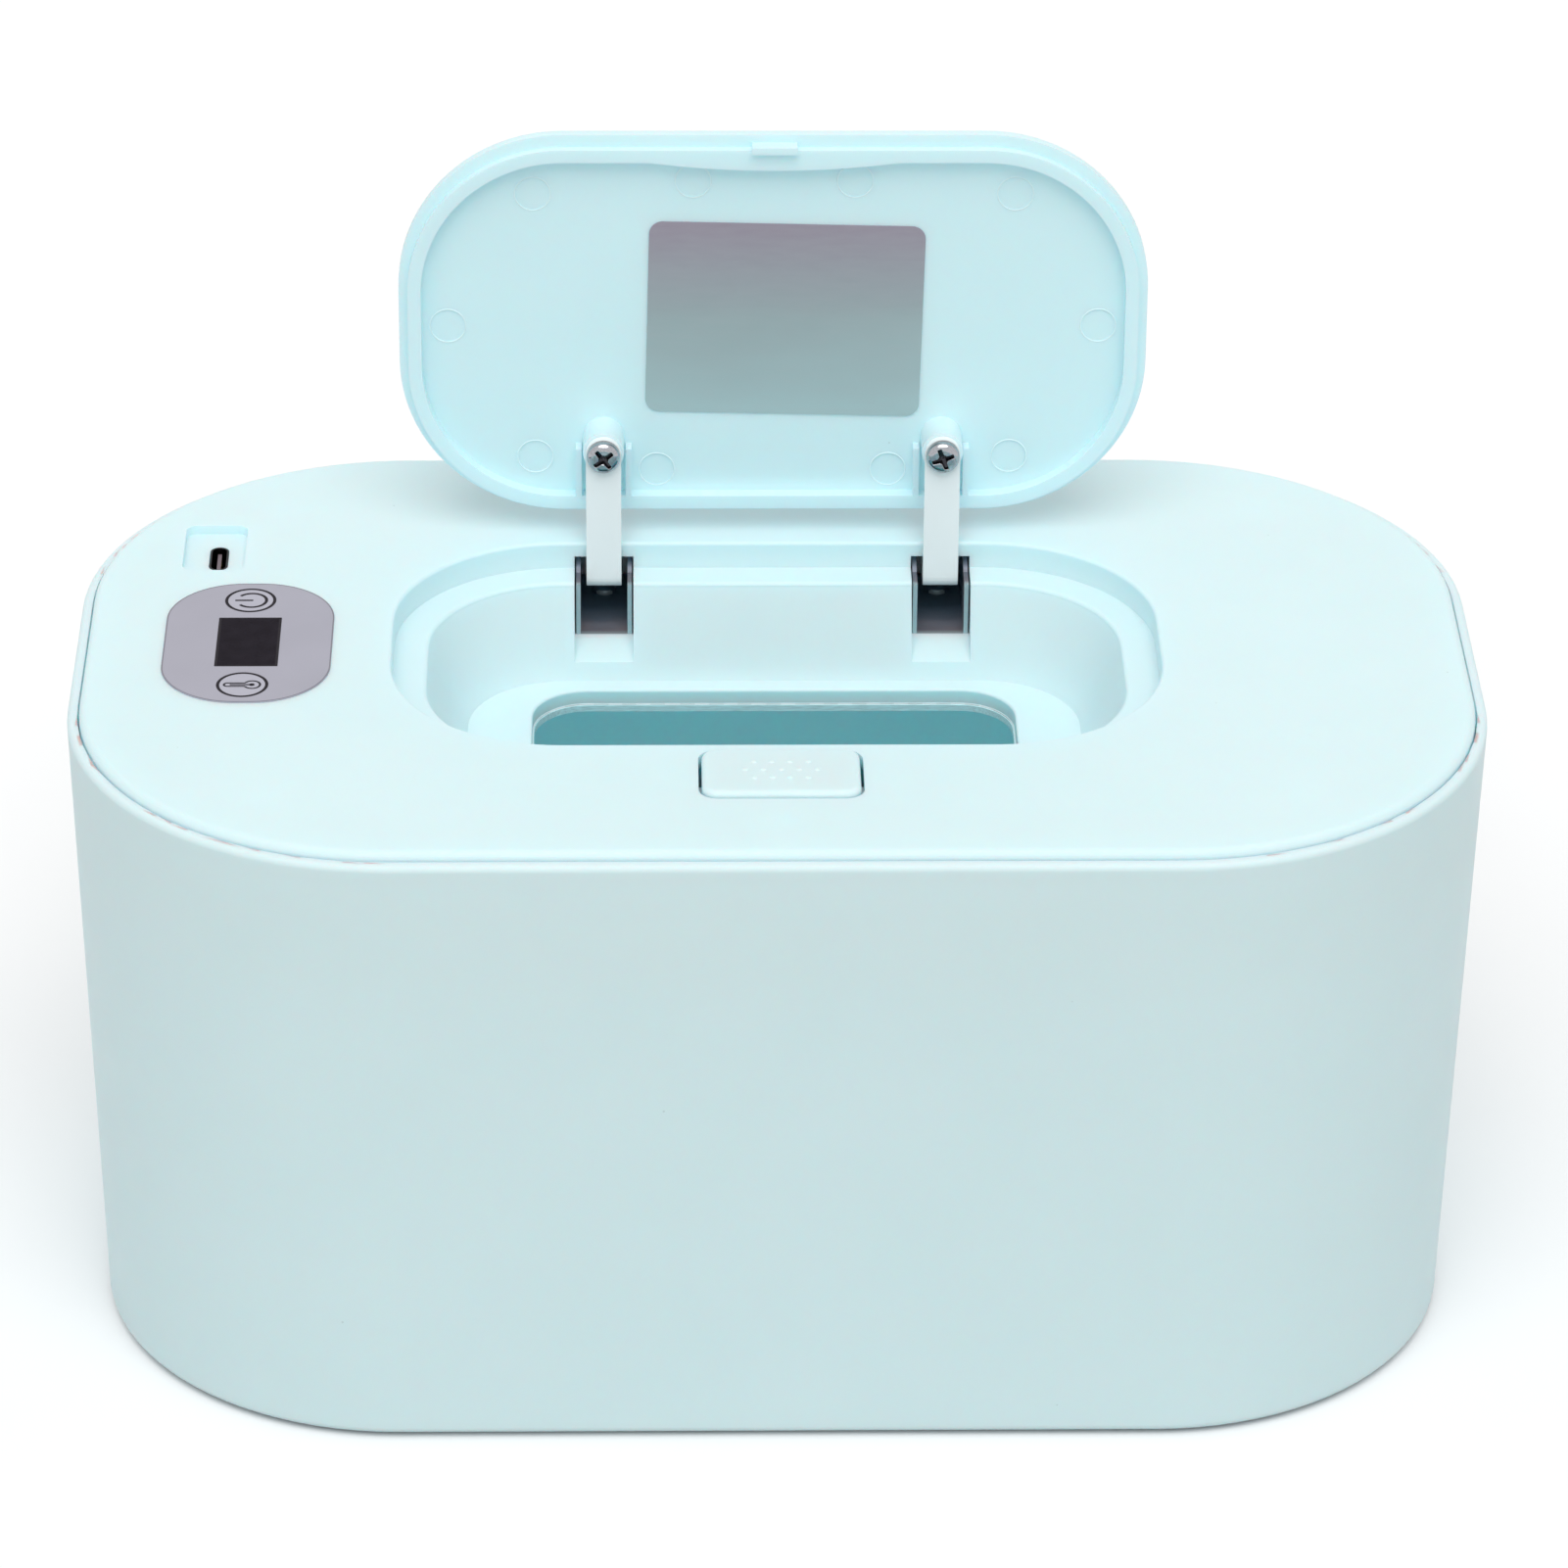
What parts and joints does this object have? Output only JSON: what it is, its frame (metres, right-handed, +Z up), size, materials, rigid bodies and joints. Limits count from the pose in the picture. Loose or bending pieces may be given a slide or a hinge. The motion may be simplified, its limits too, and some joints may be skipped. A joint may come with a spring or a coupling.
{
  "type": "baby wipe warmer",
  "caption": "Tapered rounded tub with a heated dispensing deck, a flip lid on two gooseneck arms, a release button with a sliding latch, a display and a charging port.",
  "frame": {"origin": "centre of the footprint, on the surface that the feet rest on", "axes": "+X to the right along the tub's long side, +Y to the back where the lid's hinge is, +Z up"},
  "size_m": [0.25, 0.1544, 0.1981],
  "materials": {
    "pale_plastic": "satin moulded polypropylene, very pale ice blue",
    "arm_plastic": "satin moulded, very pale blue",
    "blue_plastic": "matt moulded",
    "white_plastic": "satin acetal",
    "black_plastic": "matt",
    "brown_plastic": "dipped epoxy",
    "grey_plastic": "satin",
    "grey_rubber": "matt",
    "clear_silicone": "translucent silicone",
    "steel_screws": "zinc plated",
    "steel_pins": "polished",
    "spring_steel": "bright wire",
    "bracket_steel": "blued sheet",
    "dark_steel": "black shell",
    "aluminium_plate": "mill finish",
    "brass_springs": "gold plated",
    "heater_film": "pale silvery heating film",
    "circuit_board": "solder mask",
    "display_glass": "dark window",
    "label_film": "printed film, pale mauve grey",
    "sticker_film": "silvery film",
    "wire_cover": "silicone covered"
  },
  "bodies": {
    "tub": {"tub_shell": "pale_plastic", "rubber_feet": "grey_rubber"},
    "deck": {"deck_cover": "pale_plastic", "deck_seal": "clear_silicone", "deck_tray": "blue_plastic", "tray_screws": "steel_screws", "heat_plate": "aluminium_plate", "heater_film": "heater_film", "thermal_cutout": "black_plastic", "temperature_sensor": "brown_plastic", "control_board": "circuit_board", "board_components": "black_plastic", "display_module": "black_plastic", "display_lens": "display_glass", "touch_springs": "brass_springs", "control_label": "label_film", "usb_shell": "dark_steel", "usb_tongue": "grey_plastic", "usb_board": "circuit_board", "board_screws": "steel_screws", "wiring": "wire_cover", "left_hinge_bracket": "bracket_steel", "right_hinge_bracket": "bracket_steel", "bracket_screws": "steel_screws", "hinge_pins": "steel_pins", "hinge_springs": "spring_steel", "button_springs": "spring_steel", "latch_guide": "blue_plastic", "guide_screws": "steel_screws"},
    "lid": {"lid_shell": "pale_plastic", "lid_label": "sticker_film", "left_hinge_arm": "arm_plastic", "right_hinge_arm": "arm_plastic", "arm_screws": "steel_screws"},
    "button": {"release_button": "pale_plastic"},
    "latch": {"latch_slider": "white_plastic"}
  },
  "joints": [
    {"name": "deck_lift", "type": "slide", "parent": "tub", "child": "deck", "axis": [0, 0, 1], "range_m": [0, 0.08]},
    {"name": "lid_hinge", "type": "hinge", "parent": "deck", "child": "lid", "pos_m": [0, 0.0456, 0.117], "axis": [1, 0, 0], "range_deg": [0, 91.5], "stiffness_Nm_per_rad": 0.012, "springref_deg": -34.38},
    {"name": "button_press", "type": "slide", "parent": "deck", "child": "button", "axis": [0, 0, -1], "range_m": [0, 0.002], "stiffness_N_per_m": 600, "springref_m": -0.002, "deforming": ["button_springs"]},
    {"name": "latch_slide", "type": "slide", "parent": "deck", "child": "latch", "axis": [0, -1, 0], "range_m": [0, 0.0012]}
  ],
  "couplings": [
    {"joint": "latch_slide", "follows": "button_press", "ratio": 0.6}
  ]
}
